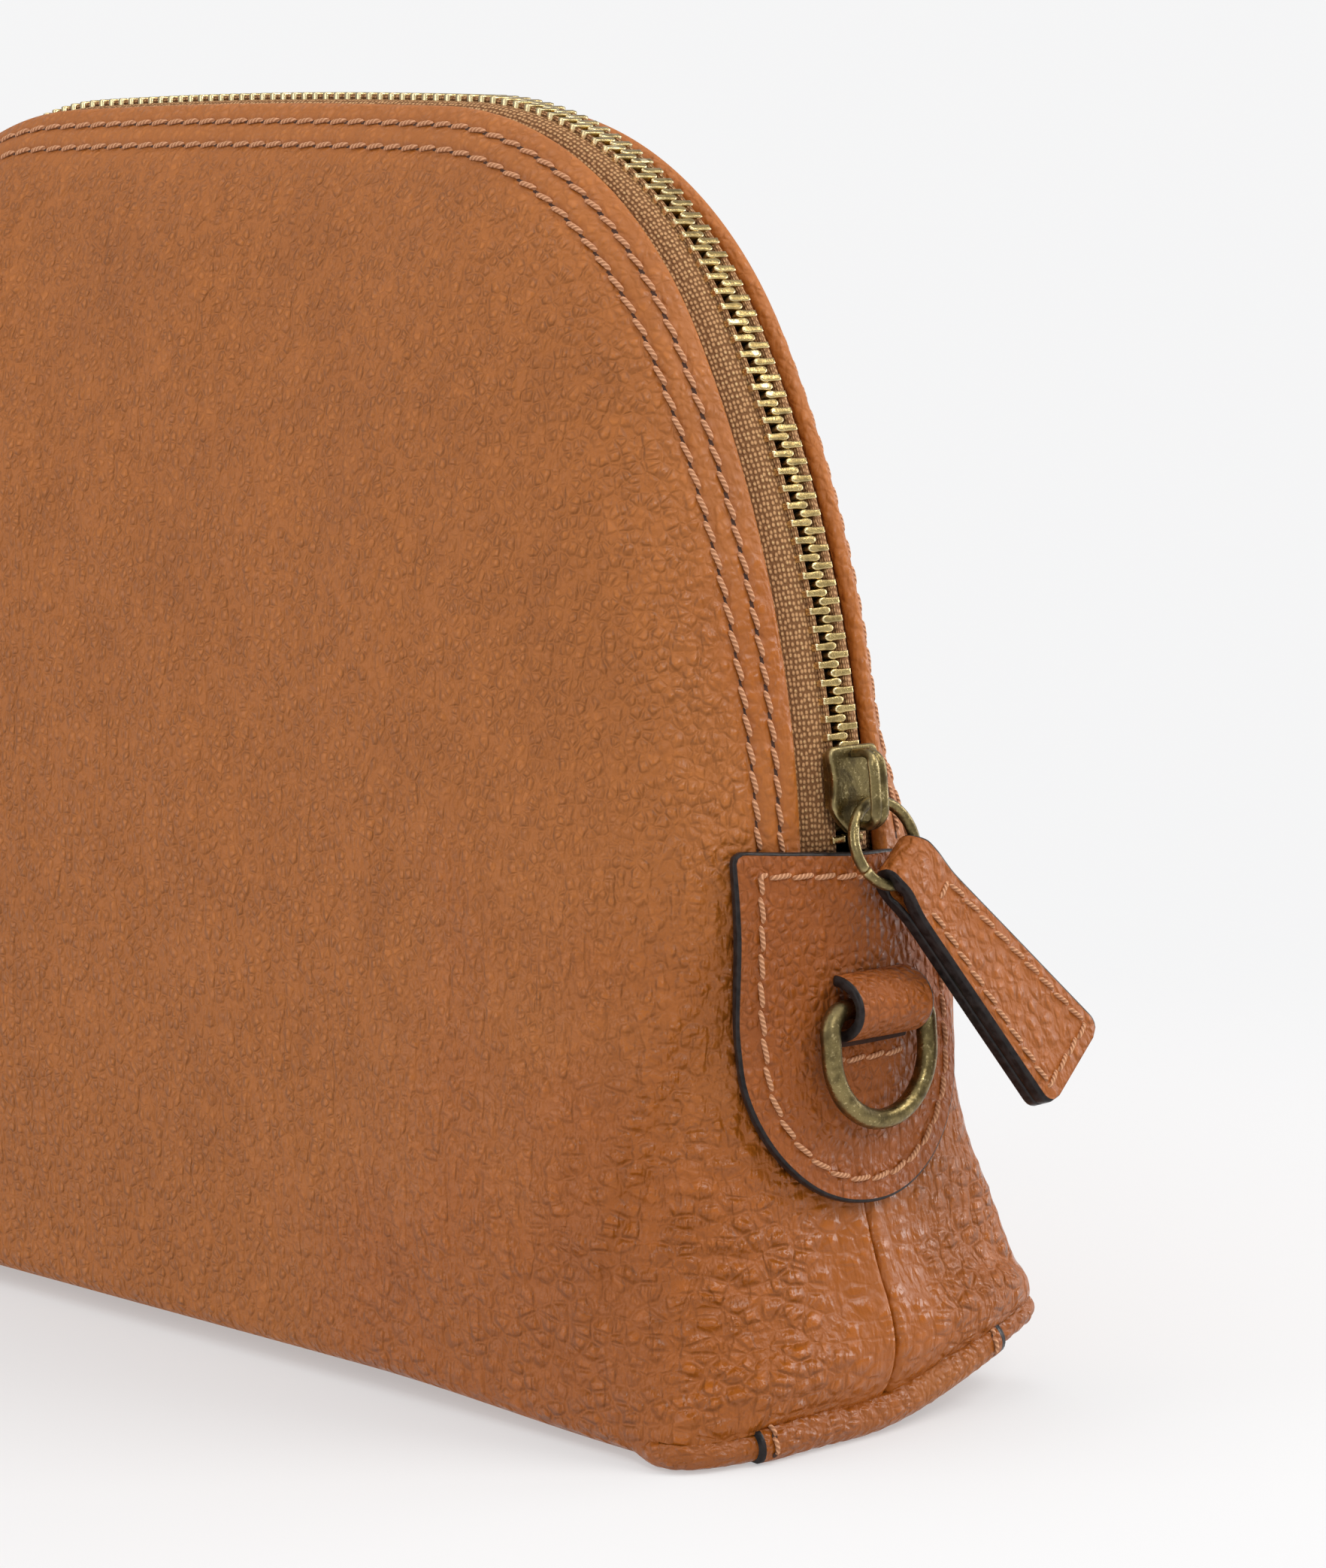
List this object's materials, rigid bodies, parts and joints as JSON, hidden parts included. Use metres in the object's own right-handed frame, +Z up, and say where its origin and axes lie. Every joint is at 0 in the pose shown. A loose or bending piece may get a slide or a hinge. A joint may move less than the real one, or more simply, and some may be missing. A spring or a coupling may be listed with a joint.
{
  "type": "zippered leather pouch",
  "caption": "Dome-topped leather pouch with a curved metal zip, a leather zip pull on a ring and a D-ring on a stitched tab at each end.",
  "frame": {"origin": "centre of the base's underside, on the floor", "axes": "+X along the pouch towards the end where the zip closes, -Y out of the front, +Z up"},
  "size_m": [0.2652, 0.073, 0.1853],
  "materials": {
    "leather_panel": "pebbled, satin",
    "leather_tab": "smooth creased, satin, painted edges",
    "lining": "plain woven, matt",
    "zip_tape": "woven, slight sheen",
    "zip_brass": "bright",
    "antique_brass": "antiqued, worn bright on the edges"
  },
  "bodies": {
    "pouch": {"front_panel": "leather_panel", "back_panel": "leather_panel", "base_panel": "leather_panel", "lining_front": "lining", "lining_back": "lining", "zipper_tape_front": "zip_tape", "zipper_tape_back": "zip_tape", "teeth_row_front": "zip_brass", "teeth_row_back": "zip_brass", "top_stop_front": "zip_brass", "top_stop_back": "zip_brass", "bottom_stop": "zip_brass", "side_tab_right": "leather_tab", "side_tab_left": "leather_tab", "ring_loop_right": "leather_tab", "ring_loop_left": "leather_tab"},
    "slider": {"slider_body": "antique_brass", "slider_crown": "antique_brass"},
    "pull_ring": {"pull_ring": "antique_brass"},
    "pull": {"pull_strap": "leather_tab"},
    "d_ring_right": {"d_ring_right": "antique_brass"},
    "d_ring_left": {"d_ring_left": "antique_brass"}
  },
  "joints": [
    {"name": "slider_travel", "type": "hinge", "parent": "pouch", "child": "slider", "pos_m": [-0.04075, 0, 0.07402], "axis": [0, -1, 0], "range_deg": [0, 21.5], "deforming": ["teeth_row_front", "teeth_row_back"]},
    {"name": "ring_swing", "type": "hinge", "parent": "slider", "child": "pull_ring", "pos_m": [0.1212, 0, 0.08754], "axis": [0, -1, 0], "range_deg": [0, 95]},
    {"name": "pull_swing", "type": "hinge", "parent": "pull_ring", "child": "pull", "pos_m": [0.123, 0.0018, 0.08216], "axis": [-0.9483, 0, -0.3173], "range_deg": [-45, 80]},
    {"name": "d_ring_right_swing", "type": "hinge", "parent": "pouch", "child": "d_ring_right", "pos_m": [0.12344, 0, 0.06], "axis": [0, -1, 0], "range_deg": [0, 60]},
    {"name": "d_ring_left_swing", "type": "hinge", "parent": "pouch", "child": "d_ring_left", "pos_m": [-0.12344, 0, 0.06], "axis": [0, 1, 0], "range_deg": [0, 150]}
  ]
}
